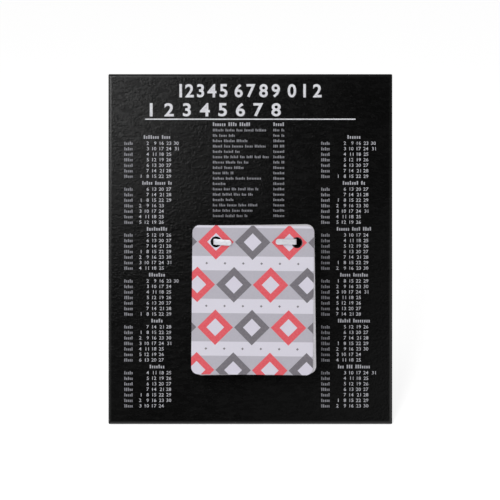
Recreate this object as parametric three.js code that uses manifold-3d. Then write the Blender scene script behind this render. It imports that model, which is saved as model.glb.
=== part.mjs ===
// Tear-off desk calendar: a wrapped board that leans on an easel strut, with a pad of dated leaves held by a
// two-prong fastener. Millimetres, +Z up, the printed face looks along -Y, the desk is at Z = 0.
// The pieces are modelled with the board upright (X across, Y from front to back, Z up the board, Y = 0 on the
// back of the board), and the whole group is then leaned back.
import * as THREE from "three";
import { mergeVertices } from "three/addons/utils/BufferGeometryUtils.js";
import Module from "manifold-3d";

const wasm = await Module();
wasm.setup();

// Driving dimensions: the stand
const leanAngle = 17; // degrees from upright
const glueGap = 0.3; // between any two sheets that lie on each other

// Board
const boardWidth = 165;
const boardHeight = 203.4;
const coreThickness = 1.8;
const wrapThickness = 0.4;
const wrapEdgeRadius = 0.6;
const turnInWidth = 16;
const mitreSlit = 0.4;
const linerThickness = 0.3;
const linerInset = 4;

// Pad
const leafWidth = 68.4;
const leafHeight = 83.8;
const leafCornerRadius = 4;
const blockThickness = 20.5;
const backingThickness = 0.8;
const coverThickness = 0.3;
const holeDiameter = 6.2;
const holeSpacing = 45.6;
const holeFromTop = 9.3; // from the leaf's top edge to the hole's centre
const holeOffCentre = 1.9; // the pair of holes sits right of the leaf's middle
const sheafCount = 14; // the block is knocked up in sheaves that don't line up exactly
const sheafWander = 0.22;
const sheafLap = 0.02;
const blockSag = 0.5; // the front sheaves hang lower than the back ones
const blockTurn = 0.75; // degrees, anticlockwise from the front
const blockPlay = [0.3, 0.3]; // right of and above the fastener's middle
const coverTurn = -0.55; // degrees
const coverPlay = [0, -0.3];

// Prong fastener
const padAcross = 3.5; // right of the board's middle
const fastenerHeight = 105.8; // above the board's bottom edge
const prongSpacing = 46.2;
const prongShift = -0.9; // the fastener sits left of the pair of holes
const prongWidth = 3.3;
const prongThickness = 0.6;
const prongBendRadius = 0.5; // inside the bend
const leftProngReach = 10;
const rightProngReach = 11.5;
const leftProngDroop = 4.5; // degrees, tip lower than the root
const rightProngDroop = 0.5;
const fastenerBaseWidth = 8;
const slotClearance = 0.5;

// Easel strut
const strutThickness = 1.4;
const strutPanelWidth = 44;
const strutPanelBottom = 20;
const strutTop = 152;
const strutTopDepth = 9;
const footStart = 24; // behind the board's back
const footEnd = 63;
const strutCornerRadius = 5;
const lockTabHeight = 34;
const lockTabAcross = 28;
const lockTabDepth = 26;
const lockTabHook = 5; // what comes out on the other side of the wing

// Print on the board, from its middle line and its top edge
const stampDepth = 0.04; // printed fields lie this much below the face
const titleFromTop = 5.6;
const titleHeight = 8;
const titleBlocks = [[-41.2, -13.3], [-9.2, 17.2], [21.6, 41.4]];
const secondLineFromTop = 16.8;
const secondLineHeight = 7.4;
const secondLineLeft = -60.6;
const secondLinePitch = 10.48;
const secondLineBlock = 5.6;
const secondLineCount = 8;
const ruleFromTop = 25.6;
const ruleWidth = 122.2;
const ruleHeight = 0.8;
const monthMiddles = [-54, 60.4];
const monthHeadFromTop = 35.6;
const monthHeadWidth = 14;
const monthHeadHeight = 2.1;
const monthPitch = 26.67;
const dayRowDrop = 3.6; // from the month's head to the first row
const dayRowPitch = 3.2;
const dayRowHeight = 1.9;
const weekdayFromMiddle = -19.6;
const weekdayWidth = 5.3;
const weekFromMiddle = -11.8;
const weekPitch = 4.32;
const weekWidth = 2.6;
const noteColumns = [[-21.7, 5], [13.4, 20]];
const noteHeadFromTop = 28.2;
const noteFromTop = 31.9;
const notePitch = 3.11;
const noteHeight = 1.4;
const noteCount = 17;
const monthDays = [31, 29, 31, 30, 31, 30, 31, 31, 30, 31, 30, 31];
const firstWeekday = 6; // the year starts on a Sunday, weeks start on Monday

// Print on the cover leaf: rows of diamond frames that run off its edges, and a pale band between two rows
const diamondPitch = 20.6;
const diamondRowPitch = 24;
const diamondReach = 10; // from the middle to a corner
const diamondBorder = 5; // the frame's width, along that line
const lowestRow = 2.5; // its middles, above the leaf's bottom edge
const firstColumn = 13.3; // from the leaf's left edge, in every other row
const bandHeight = 8;

const inkPale = 0xd7d7de;
const inkGrey = 0x8e8e94;
const inkRed = 0xde5c69;
const inkDark = 0x767579;
const groundBlack = 0x141416;
const groundSilver = 0xb0afba;

const arcSteps = 6;
const lean = THREE.MathUtils.degToRad(leanAngle);

// Depths of the sheets, from the back of the board (Y = 0) to the front
const turnInFront = -wrapThickness;
const coreBack = turnInFront - glueGap;
const coreFront = coreBack - coreThickness;
const wrapInside = coreFront - glueGap;
const boardFront = wrapInside - wrapThickness;
const backingBack = boardFront - glueGap;
const blockBack = backingBack - backingThickness - glueGap;
const blockFront = blockBack - blockThickness;
const coverBack = blockFront - glueGap;
const prongBack = coverBack - coverThickness - glueGap;
const linerRimFront = glueGap;
const linerStep = wrapThickness + glueGap; // the liner sinks to the core inside the turned-in edges
const linerPanelBack = linerRimFront + linerThickness - linerStep;
const baseBack = coreBack;
const baseFront = baseBack - prongThickness;
const strutFront = linerPanelBack + glueGap;
const strutBack = strutFront + strutThickness;

// A flat outline given by its left, low, right and high edges.
function block(left, low, right, high) {
  return [
    new THREE.Vector2(left, low),
    new THREE.Vector2(right, low),
    new THREE.Vector2(right, high),
    new THREE.Vector2(left, high),
  ];
}

function diamond(across, up, reach) {
  return [
    new THREE.Vector2(across + reach, up),
    new THREE.Vector2(across, up + reach),
    new THREE.Vector2(across - reach, up),
    new THREE.Vector2(across, up - reach),
  ];
}

function solidOf(geometry) {
  const bare = geometry.clone();
  bare.deleteAttribute("normal");
  bare.deleteAttribute("uv");
  const merged = mergeVertices(bare, 1e-4);
  return new wasm.Manifold(
    new wasm.Mesh({
      numProp: 3,
      vertProperties: new Float32Array(merged.attributes.position.array),
      triVerts: new Uint32Array(merged.index.array),
    }),
  );
}

function geometryOf(solid) {
  const mesh = solid.getMesh();
  const indexed = new THREE.BufferGeometry();
  indexed.setAttribute("position", new THREE.BufferAttribute(mesh.vertProperties, 3));
  indexed.setIndex(new THREE.BufferAttribute(mesh.triVerts, 1));
  const faceted = indexed.toNonIndexed();
  faceted.computeVertexNormals();
  return faceted;
}

// A rectangle about the origin, with round corners where a radius is given.
function rectangle(width, height, radius = 0) {
  const shape = new THREE.Shape();
  const right = width / 2;
  const top = height / 2;
  if (radius === 0) {
    shape.moveTo(-right, -top).lineTo(right, -top).lineTo(right, top).lineTo(-right, top);
    return shape;
  }
  shape.absarc(right - radius, top - radius, radius, 0, Math.PI / 2);
  shape.absarc(radius - right, top - radius, radius, Math.PI / 2, Math.PI);
  shape.absarc(radius - right, radius - top, radius, Math.PI, 1.5 * Math.PI);
  shape.absarc(right - radius, radius - top, radius, 1.5 * Math.PI, 2 * Math.PI);
  return shape;
}

// A flat sheet: the outline is drawn across and up the board, and the sheet lies between two depths.
function sheet(shape, back, front, across = 0, up = 0) {
  const geometry = new THREE.ExtrudeGeometry(shape, {
    depth: back - front,
    bevelEnabled: false,
    curveSegments: arcSteps,
  });
  geometry.rotateX(Math.PI / 2).translate(across, back, up);
  return solidOf(geometry);
}

// A pin, bored or punched from front to back.
function rod(radius, back, front, across, up) {
  const geometry = new THREE.CylinderGeometry(radius, radius, back - front, 4 * arcSteps);
  geometry.translate(across, (back + front) / 2, up);
  return solidOf(geometry);
}

// A card that stands square to the board: its outline is drawn from front to back and up.
function wing(shape, left, right) {
  const geometry = new THREE.ExtrudeGeometry(shape, {
    depth: right - left,
    bevelEnabled: false,
    curveSegments: arcSteps,
  });
  const turned = new THREE.Matrix4().makeBasis(
    new THREE.Vector3(0, 1, 0),
    new THREE.Vector3(0, 0, 1),
    new THREE.Vector3(1, 0, 0),
  );
  geometry.applyMatrix4(turned).translate(left, 0, 0);
  return solidOf(geometry);
}

// Presses printed fields into a face. A field has an outline, an ink and a level: a higher one covers a lower.
function stamp(solid, face, fields) {
  const dies = fields.map(({ outline, level }) =>
    sheet(new THREE.Shape(outline), face + level * stampDepth, face - glueGap),
  );
  return solid.subtract(wasm.Manifold.union(dies));
}

// Whether a convex outline, drawn anticlockwise, holds a point.
function holds(outline, point) {
  return outline.every((corner, i) => {
    const after = outline[(i + 1) % outline.length];
    return after.clone().sub(corner).cross(point.clone().sub(corner)) > 0;
  });
}

// Colours the bottom of each printed field with its ink and the rest with the ground colour.
function inked(geometry, face, fields, ground) {
  const places = geometry.attributes.position;
  const colors = new Float32Array(places.count * 3);
  for (let first = 0; first < places.count; first += 3) {
    const corners = [0, 1, 2].map((i) => new THREE.Vector3().fromBufferAttribute(places, first + i));
    const middle = corners[0].clone().add(corners[1]).add(corners[2]).divideScalar(3);
    const flat = corners.every((corner) => Math.abs(corner.y - middle.y) < stampDepth / 10);
    const level = Math.round((middle.y - face) / stampDepth);
    const below = flat && level > 0;
    const spot = new THREE.Vector2(middle.x, middle.z);
    const field = below ? fields.find((f) => f.level === level && holds(f.outline, spot)) : undefined;
    const ink = new THREE.Color(field ? field.ink : ground);
    for (let i = 0; i < 3; i += 1) ink.toArray(colors, (first + i) * 3);
  }
  geometry.setAttribute("color", new THREE.BufferAttribute(colors, 3));
  return geometry;
}

const boardMiddle = boardHeight / 2;
const deskRise = (wrapEdgeRadius * (Math.sin(lean) + Math.cos(lean) - 1)) / Math.cos(lean);
const prongPlaces = [-prongSpacing / 2, prongSpacing / 2].map((x) => padAcross + prongShift + x);

// The slots through the board that the prongs pass through.
function cutProngSlots(solid) {
  const slot = rectangle(prongThickness + 2 * slotClearance, prongWidth + 2 * slotClearance);
  return prongPlaces.reduce(
    (left, x) => left.subtract(sheet(slot, glueGap, boardFront - glueGap, x, fastenerHeight)),
    solid,
  );
}

// Greyboard, grooved at the back for the fastener's base.
function boardCore() {
  const margin = wrapThickness + glueGap;
  const board = rectangle(boardWidth - 2 * margin, boardHeight - 2 * margin);
  const groove = rectangle(
    prongSpacing + prongThickness + 2 * slotClearance,
    fastenerBaseWidth + 2 * slotClearance,
  );
  const grooved = sheet(board, coreBack, coreFront, 0, boardMiddle).subtract(
    sheet(groove, coreBack + glueGap, baseFront - glueGap, padAcross + prongShift, fastenerHeight),
  );
  return cutProngSlots(grooved);
}

// One sheet folded round the board and turned in at the back, slit along its mitred corners.
function coverWrap() {
  const rounded = new THREE.ExtrudeGeometry(rectangle(boardWidth, boardHeight), {
    depth: -boardFront - 2 * wrapEdgeRadius,
    bevelThickness: wrapEdgeRadius,
    bevelSize: wrapEdgeRadius,
    bevelOffset: -wrapEdgeRadius,
    bevelSegments: 3,
  });
  rounded.rotateX(Math.PI / 2).translate(0, -wrapEdgeRadius, boardMiddle);
  const inside = rectangle(boardWidth - 2 * wrapThickness, boardHeight - 2 * wrapThickness);
  const window = rectangle(boardWidth - 2 * turnInWidth, boardHeight - 2 * turnInWidth);
  let folded = solidOf(rounded)
    .subtract(sheet(inside, turnInFront, wrapInside, 0, boardMiddle))
    .subtract(sheet(window, glueGap, turnInFront - glueGap, 0, boardMiddle));
  const slitPastCorner = 2 * mitreSlit;
  const slitLength = (turnInWidth - wrapThickness + slitPastCorner) * Math.SQRT2;
  for (const side of [-1, 1]) {
    for (const end of [-1, 1]) {
      const slit = new THREE.BoxGeometry(slitLength, 3 * wrapThickness, mitreSlit);
      const inset = (turnInWidth + wrapThickness + slitPastCorner) / 2;
      slit.rotateY((-side * end * Math.PI) / 4);
      slit.translate(
        side * (boardWidth / 2 - inset),
        turnInFront + wrapThickness / 2,
        boardMiddle + end * (boardHeight / 2 - inset),
      );
      folded = folded.subtract(solidOf(slit));
    }
  }
  return cutProngSlots(folded);
}

// Paper pasted over the turned-in edges, pressed down onto the core inside them.
function backLiner() {
  const outline = rectangle(boardWidth - 2 * linerInset, boardHeight - 2 * linerInset);
  const pressedMargin = turnInWidth + glueGap;
  const pressed = rectangle(boardWidth - 2 * pressedMargin, boardHeight - 2 * pressedMargin);
  const sunkMargin = pressedMargin + linerThickness;
  const sunk = rectangle(boardWidth - 2 * sunkMargin, boardHeight - 2 * sunkMargin);
  const rimBack = linerRimFront + linerThickness;
  return sheet(outline, rimBack, linerRimFront, 0, boardMiddle)
    .add(sheet(pressed, rimBack, linerRimFront - linerStep, 0, boardMiddle))
    .subtract(sheet(sunk, rimBack + glueGap, linerPanelBack, 0, boardMiddle));
}

// The desk as seen by the upright board: it passes under the rounded back edge and rises behind it.
function deskUnder(depth) {
  return new THREE.Vector2(depth, depth * Math.tan(lean) + deskRise);
}

// One die-cut card: a pasted panel, a wing folded square to it and a tab that locks the fold.
function easelStrut() {
  const panel = sheet(
    rectangle(strutPanelWidth, strutTop - strutPanelBottom, strutCornerRadius),
    strutBack,
    strutFront,
    strutThickness / 2 - strutPanelWidth / 2,
    (strutTop + strutPanelBottom) / 2,
  );
  const outline = new THREE.Shape();
  const heel = deskUnder(footEnd);
  const shoulder = new THREE.Vector2(strutTopDepth, strutTop - strutCornerRadius);
  const upSlope = shoulder.clone().sub(heel).normalize().multiplyScalar(strutCornerRadius);
  const alongFoot = new THREE.Vector2(Math.cos(lean), Math.sin(lean)).multiplyScalar(strutCornerRadius);
  outline.moveTo(strutFront, strutPanelBottom + strutCornerRadius);
  outline.lineTo(footStart, deskUnder(footStart).y);
  outline.lineTo(heel.x - alongFoot.x, heel.y - alongFoot.y);
  outline.quadraticCurveTo(heel.x, heel.y, heel.x + upSlope.x, heel.y + upSlope.y);
  outline.lineTo(shoulder.x, shoulder.y);
  outline.quadraticCurveTo(strutTopDepth, strutTop, strutTopDepth - strutCornerRadius, strutTop);
  outline.lineTo(strutFront, strutTop);
  const blade = wing(outline, -strutThickness / 2, strutThickness / 2);
  const tab = new THREE.Shape();
  tab.moveTo(-lockTabAcross, strutFront);
  tab.lineTo(strutThickness / 2 + lockTabHook, strutFront + lockTabDepth / 2);
  tab.lineTo(strutThickness / 2 + lockTabHook, strutFront + lockTabDepth * 0.8);
  tab.lineTo(-strutThickness / 2, strutFront + lockTabDepth);
  const flap = new THREE.ExtrudeGeometry(tab, { depth: strutThickness, bevelEnabled: false });
  flap.translate(0, 0, lockTabHeight);
  return panel.add(blade).add(solidOf(flap));
}

// Hangs points of a leaf by its holes: they are turned about the middle of the pair of holes.
function hang(points, turn, across, up) {
  const angle = THREE.MathUtils.degToRad(turn);
  const middle = new THREE.Vector2(0, 0);
  return points.map((point) =>
    point
      .clone()
      .add(new THREE.Vector2(-holeOffCentre, holeFromTop - leafHeight / 2))
      .rotateAround(middle, angle)
      .add(new THREE.Vector2(padAcross + across, fastenerHeight + up)),
  );
}

function leafOutline(turn, across, up) {
  const points = rectangle(leafWidth, leafHeight, leafCornerRadius).getPoints(arcSteps);
  return new THREE.Shape(hang(points, turn, across, up));
}

// A printed block on the board, from its left edge, its distance below the top edge and its size.
function boardField(left, fromTop, width, height, ink) {
  const high = boardHeight - fromTop;
  return { outline: block(left, high - height, left + width, high), level: 1, ink };
}

// One month: its head, and for each weekday a mark and a bar from its first to its last date.
function monthFields(middle, fromTop, weekday, days) {
  const fields = [boardField(middle - monthHeadWidth / 2, fromTop, monthHeadWidth, monthHeadHeight, inkPale)];
  for (let row = 0; row < 7; row += 1) {
    const rowFromTop = fromTop + dayRowDrop + row * dayRowPitch - (dayRowHeight - monthHeadHeight) / 2;
    const firstWeek = row < weekday ? 1 : 0;
    const lastWeek = Math.floor((weekday + days - 1 - row) / 7);
    const left = middle + weekFromMiddle + firstWeek * weekPitch;
    const width = (lastWeek - firstWeek) * weekPitch + weekWidth;
    fields.push(boardField(middle + weekdayFromMiddle, rowFromTop, weekdayWidth, dayRowHeight, inkGrey));
    fields.push(boardField(left, rowFromTop, width, dayRowHeight, inkPale));
  }
  return fields;
}

// The board's print as plain blocks: two title lines, a rule, twelve months and a small table.
function boardFields() {
  const fields = titleBlocks.map(([left, right]) =>
    boardField(left, titleFromTop, right - left, titleHeight, inkPale),
  );
  for (let i = 0; i < secondLineCount; i += 1) {
    const left = secondLineLeft + i * secondLinePitch;
    fields.push(boardField(left, secondLineFromTop, secondLineBlock, secondLineHeight, inkPale));
  }
  fields.push(boardField(-ruleWidth / 2, ruleFromTop, ruleWidth, ruleHeight, inkPale));
  let weekday = firstWeekday;
  monthDays.forEach((days, month) => {
    const perSide = monthDays.length / monthMiddles.length;
    const middle = monthMiddles[Math.floor(month / perSide)];
    const fromTop = monthHeadFromTop + (month % perSide) * monthPitch;
    fields.push(...monthFields(middle, fromTop, weekday, days));
    weekday = (weekday + days) % 7;
  });
  for (const [left, right] of noteColumns) {
    fields.push(boardField(left, noteHeadFromTop, right - left, monthHeadHeight, inkPale));
    for (let line = 0; line < noteCount; line += 1) {
      const fromTop = noteFromTop + line * notePitch;
      fields.push(boardField(left, fromTop, right - left, noteHeight, inkGrey));
    }
  }
  return fields;
}

// The cover leaf's print: every other row is moved by half a pitch, and the two inks take turns.
function coverFields() {
  const fields = [];
  const add = (outline, level, ink) =>
    fields.push({ outline: hang(outline, coverTurn, ...coverPlay), level, ink });
  const rows = Math.ceil(leafHeight / diamondRowPitch);
  const columns = Math.ceil(leafWidth / diamondPitch);
  for (let row = 0; row <= rows; row += 1) {
    const z = lowestRow + row * diamondRowPitch - leafHeight / 2;
    const shift = row % 2 ? 0 : diamondPitch / 2;
    for (let column = -1; column <= columns; column += 1) {
      const x = firstColumn + shift + column * diamondPitch - leafWidth / 2;
      add(diamond(x, z, diamondReach), 2, (row + column) % 2 ? inkRed : inkDark);
      add(diamond(x, z, diamondReach - diamondBorder), 3, inkPale);
    }
  }
  for (let row = 0; row < rows; row += 1) {
    const z = lowestRow + (row + 0.5) * diamondRowPitch - leafHeight / 2;
    add(block(-leafWidth, z - bandHeight / 2, leafWidth, z + bandHeight / 2), 1, inkPale);
  }
  return fields;
}

function punch(solid, turn, across, up, back, front) {
  const angle = THREE.MathUtils.degToRad(turn);
  return [-1, 1].reduce((left, side) => {
    const x = padAcross + across + (side * holeSpacing * Math.cos(angle)) / 2;
    const z = fastenerHeight + up + (side * holeSpacing * Math.sin(angle)) / 2;
    return left.subtract(rod(holeDiameter / 2, back + glueGap, front - glueGap, x, z));
  }, solid);
}

// A leaf, or any sheet of the pad, with its two holes.
function padSheet(turn, [across, up], back, front) {
  const leaf = sheet(leafOutline(turn, across, up), back, front);
  return punch(leaf, turn, across, up, back, front);
}

// All dated leaves as one solid: sheaves that wander a little and sag towards the front.
function leafBlock() {
  const [across, up] = blockPlay;
  const pitch = blockThickness / sheafCount;
  let block = null;
  for (let i = 0; i < sheafCount; i += 1) {
    const back = blockBack - i * pitch;
    const lap = i < sheafCount - 1 ? sheafLap : 0;
    const sideways = sheafWander * Math.sin(2.4 * i + 1);
    const lift = sheafWander * Math.cos(1.7 * i + 0.4) + blockSag * (0.5 - i / sheafCount);
    const outline = leafOutline(blockTurn, across + sideways, up + lift);
    const sheaf = sheet(outline, back, back - pitch - lap);
    block = block === null ? sheaf : block.add(sheaf);
  }
  return punch(block, blockTurn, across, up, blockBack, blockFront);
}

// A bent strip: from the base, forward through the pad, round the bend and flat over the cover leaf.
function prong(place, side, reach, droop) {
  const inward = -side;
  const outerRadius = prongBendRadius + prongThickness;
  const legFront = prongBack + prongBendRadius;
  const leg = sheet(rectangle(prongThickness, prongWidth), baseBack, legFront, place, fastenerHeight);
  const bend = new THREE.Shape();
  bend.absarc(0, 0, outerRadius, 0, Math.PI / 2);
  bend.absarc(0, 0, prongBendRadius, Math.PI / 2, 0, true);
  const elbow = new THREE.ExtrudeGeometry(bend, {
    depth: prongWidth,
    bevelEnabled: false,
    curveSegments: arcSteps,
  });
  const cornerAcross = place + inward * (prongThickness / 2 + prongBendRadius);
  elbow.rotateZ(side > 0 ? -Math.PI / 2 : Math.PI);
  elbow.translate(cornerAcross, legFront, fastenerHeight - prongWidth / 2);
  const tip = prongWidth / 2;
  const length = reach - prongThickness / 2 - prongBendRadius;
  const blade = new THREE.Shape();
  blade.moveTo(0, -tip);
  blade.lineTo(length - tip, -tip);
  blade.absarc(length - tip, 0, tip, -Math.PI / 2, Math.PI / 2);
  blade.lineTo(0, tip);
  const strip = new THREE.ExtrudeGeometry(blade, {
    depth: prongThickness,
    bevelEnabled: false,
    curveSegments: arcSteps,
  });
  strip.rotateX(Math.PI / 2);
  if (inward < 0) strip.rotateZ(Math.PI).translate(0, -prongThickness, 0);
  strip.rotateY(inward * THREE.MathUtils.degToRad(droop));
  strip.translate(cornerAcross - inward * sheafLap, prongBack, fastenerHeight);
  return leg.add(solidOf(elbow)).add(solidOf(strip));
}

// One piece: a base strip let into the core, with a prong at each end.
function prongFastener() {
  const base = sheet(
    rectangle(prongSpacing + prongThickness, fastenerBaseWidth),
    baseBack,
    baseFront,
    padAcross + prongShift,
    fastenerHeight,
  );
  return base
    .add(prong(prongPlaces[0], -1, leftProngReach, leftProngDroop))
    .add(prong(prongPlaces[1], 1, rightProngReach, rightProngDroop));
}

const calendar = new THREE.Group();

function addPiece(name, solid, color, roughness, metalness = 0) {
  const material = new THREE.MeshStandardMaterial({ color, roughness, metalness });
  const mesh = new THREE.Mesh(geometryOf(solid), material);
  mesh.name = name;
  calendar.add(mesh);
}

function addPrintedPiece(name, solid, face, fields, ground, roughness) {
  const geometry = inked(geometryOf(stamp(solid, face, fields)), face, fields, ground);
  const material = new THREE.MeshStandardMaterial({ vertexColors: true, roughness });
  const mesh = new THREE.Mesh(geometry, material);
  mesh.name = name;
  calendar.add(mesh);
}

addPiece("board_core", boardCore(), 0x8d877c, 0.9);
addPrintedPiece("cover_wrap", coverWrap(), boardFront, boardFields(), groundBlack, 0.45);
addPiece("back_liner", backLiner(), 0x1d1d1f, 0.75);
addPiece("easel_strut", easelStrut(), 0x232325, 0.8);
addPiece("backing_card", padSheet(blockTurn, blockPlay, backingBack, blockBack + glueGap), 0xa39a88, 0.9);
addPiece("leaf_block", leafBlock(), 0xe9e7e2, 0.85);
const coverFront = coverBack - coverThickness;
const plainCover = padSheet(coverTurn, coverPlay, coverBack, coverFront);
addPrintedPiece("cover_leaf", plainCover, coverFront, coverFields(), groundSilver, 0.6);
addPiece("prong_fastener", prongFastener(), 0xd2d2da, 0.35);

// The calendar leans back on its strut, and stands with the middle of its box over the origin.
calendar.rotation.x = -lean;
calendar.updateMatrixWorld(true);
const room = new THREE.Box3().setFromObject(calendar, true);
const middle = room.getCenter(new THREE.Vector3());
calendar.position.set(-middle.x, -middle.y, -room.min.z);

export default calendar;
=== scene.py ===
"""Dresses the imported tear-off desk calendar: its finishes, its print, its pad of leaves and a plain studio.

Every place is given on the board: across and up from the middle of its printed face, and out of that face,
in millimetres. BoardPlane turns such places into metres in the frame.
"""

import logging
import math
from dataclasses import dataclass, field
from enum import Enum
from typing import Any, Sequence

import bmesh
import bpy
import numpy as np
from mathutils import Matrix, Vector
from mathutils.geometry import tessellate_polygon


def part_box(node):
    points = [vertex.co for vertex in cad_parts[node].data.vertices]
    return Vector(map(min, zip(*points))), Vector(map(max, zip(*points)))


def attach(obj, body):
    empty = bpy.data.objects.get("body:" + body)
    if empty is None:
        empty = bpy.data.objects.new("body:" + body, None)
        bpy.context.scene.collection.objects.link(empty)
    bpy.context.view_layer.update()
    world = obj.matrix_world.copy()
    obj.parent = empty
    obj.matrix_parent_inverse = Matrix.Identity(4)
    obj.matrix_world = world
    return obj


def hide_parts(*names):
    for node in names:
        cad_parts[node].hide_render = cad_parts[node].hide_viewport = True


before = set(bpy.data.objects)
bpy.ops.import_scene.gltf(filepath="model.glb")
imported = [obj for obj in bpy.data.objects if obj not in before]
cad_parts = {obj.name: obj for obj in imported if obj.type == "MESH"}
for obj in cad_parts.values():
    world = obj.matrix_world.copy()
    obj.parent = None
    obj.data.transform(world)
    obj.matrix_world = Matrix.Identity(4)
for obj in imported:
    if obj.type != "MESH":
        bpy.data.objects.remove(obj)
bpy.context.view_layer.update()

LOG = logging.getLogger("calendar")
ROOT_BODY = "root"
MM = 0.001

# Sizes that more than one piece takes, in millimetres; places are counted from the board's middle.
BOARD_WIDTH = 165.0
BOARD_HEIGHT = 203.4
BOARD_THICKNESS = 3.2
HOLES_ACROSS = 3.5
HOLES_UP = 105.8 - BOARD_HEIGHT / 2
PRONGS_ACROSS = HOLES_ACROSS - 0.9
PRONGS_APART = 46.2

Tint = tuple[float, float, float, float]
Pair = tuple[float, float]
WHITE: Tint = (1.0, 1.0, 1.0, 1.0)


class Slot(Enum):
    """The record's material slots."""

    WRAP = "wrap_black"
    LEAVES = "leaf_paper"
    COVER = "cover_print"
    PRONG = "prong_metal"


@dataclass(frozen=True)
class BoardPlane:
    """The board's printed face as a plane in the frame.

    Attributes:
        lean: How far the board leans back, in degrees.
        thickness: From the printed face to the back, in millimetres.
    """

    lean: float = 17.0
    thickness: float = BOARD_THICKNESS

    @property
    def up(self) -> np.ndarray:
        """Unit vector up the face."""
        angle = math.radians(self.lean)
        return np.array([0.0, math.sin(angle), math.cos(angle)])

    @property
    def out(self) -> np.ndarray:
        """Unit vector out of the face, towards the reader."""
        angle = math.radians(self.lean)
        return np.array([0.0, -math.cos(angle), math.sin(angle)])

    @property
    def middle(self) -> np.ndarray:
        """The middle of the printed face, in metres: the wrap's middle, moved out by half its thickness."""
        low, high = (np.array(corner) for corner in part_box("cover_wrap"))
        return (low + high) / 2 + self.out * self.thickness / 2 * MM

    def place(self, places: np.ndarray | Sequence[float]) -> np.ndarray:
        """Turns places on the board into points of the frame.

        Args:
            places: One (across, up, out) or an array of them, in millimetres.

        Returns:
            The same places as metres in the frame: middle + across * X + up * U + out * N.
        """
        axes = np.stack([np.array([1.0, 0.0, 0.0]), self.up, self.out])
        return self.middle + (np.asarray(places, dtype=float) * MM) @ axes


PLANE = BoardPlane()


class Sock:
    """A shader socket that Python arithmetic can be done on: each operation adds a Math node."""

    def __init__(self, graph: "Graph", socket: bpy.types.NodeSocket) -> None:
        """Keeps the graph and the output socket."""
        self.graph = graph
        self.socket = socket

    def _math(self, operation: str, *values: Any) -> "Sock":
        """Adds one Math node."""
        settings = {"operation": operation}
        return self.graph.node("ShaderNodeMath", settings, dict(enumerate(values)))[0]

    def __add__(self, other: Any) -> "Sock":
        """self + other."""
        return self._math("ADD", self, other)

    __radd__ = __add__

    def __mul__(self, other: Any) -> "Sock":
        """self * other."""
        return self._math("MULTIPLY", self, other)

    __rmul__ = __mul__

    def __sub__(self, other: Any) -> "Sock":
        """self - other."""
        return self._math("SUBTRACT", self, other)

    def __rsub__(self, other: Any) -> "Sock":
        """other - self."""
        return self._math("SUBTRACT", other, self)

    def __truediv__(self, other: Any) -> "Sock":
        """self / other."""
        return self._math("DIVIDE", self, other)

    def __rtruediv__(self, other: Any) -> "Sock":
        """other / self."""
        return self._math("DIVIDE", other, self)

    def __lt__(self, other: Any) -> "Sock":
        """1 where self is below other, else 0."""
        return self._math("LESS_THAN", self, other)

    def __gt__(self, other: Any) -> "Sock":
        """1 where self is above other, else 0."""
        return self._math("GREATER_THAN", self, other)

    def __mod__(self, other: Any) -> "Sock":
        """self modulo other, never negative."""
        return self._math("FLOORED_MODULO", self, other)

    def __rmod__(self, other: Any) -> "Sock":
        """other modulo self, never negative."""
        return self._math("FLOORED_MODULO", other, self)

    def __abs__(self) -> "Sock":
        """The absolute value."""
        return self._math("ABSOLUTE", self)

    def floor(self) -> "Sock":
        """The whole number below."""
        return self._math("FLOOR", self)

    def larger(self, other: Any) -> "Sock":
        """The larger of the two."""
        return self._math("MAXIMUM", self, other)

    def ramp(self, low: float, high: float, to_low: float = 0.0, to_high: float = 1.0) -> "Sock":
        """Maps low..high to to_low..to_high, smoothly and clamped."""
        values = {0: self, 1: low, 2: high, 3: to_low, 4: to_high}
        return self.graph.node("ShaderNodeMapRange", {"interpolation_type": "SMOOTHSTEP"}, values)[0]


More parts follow.
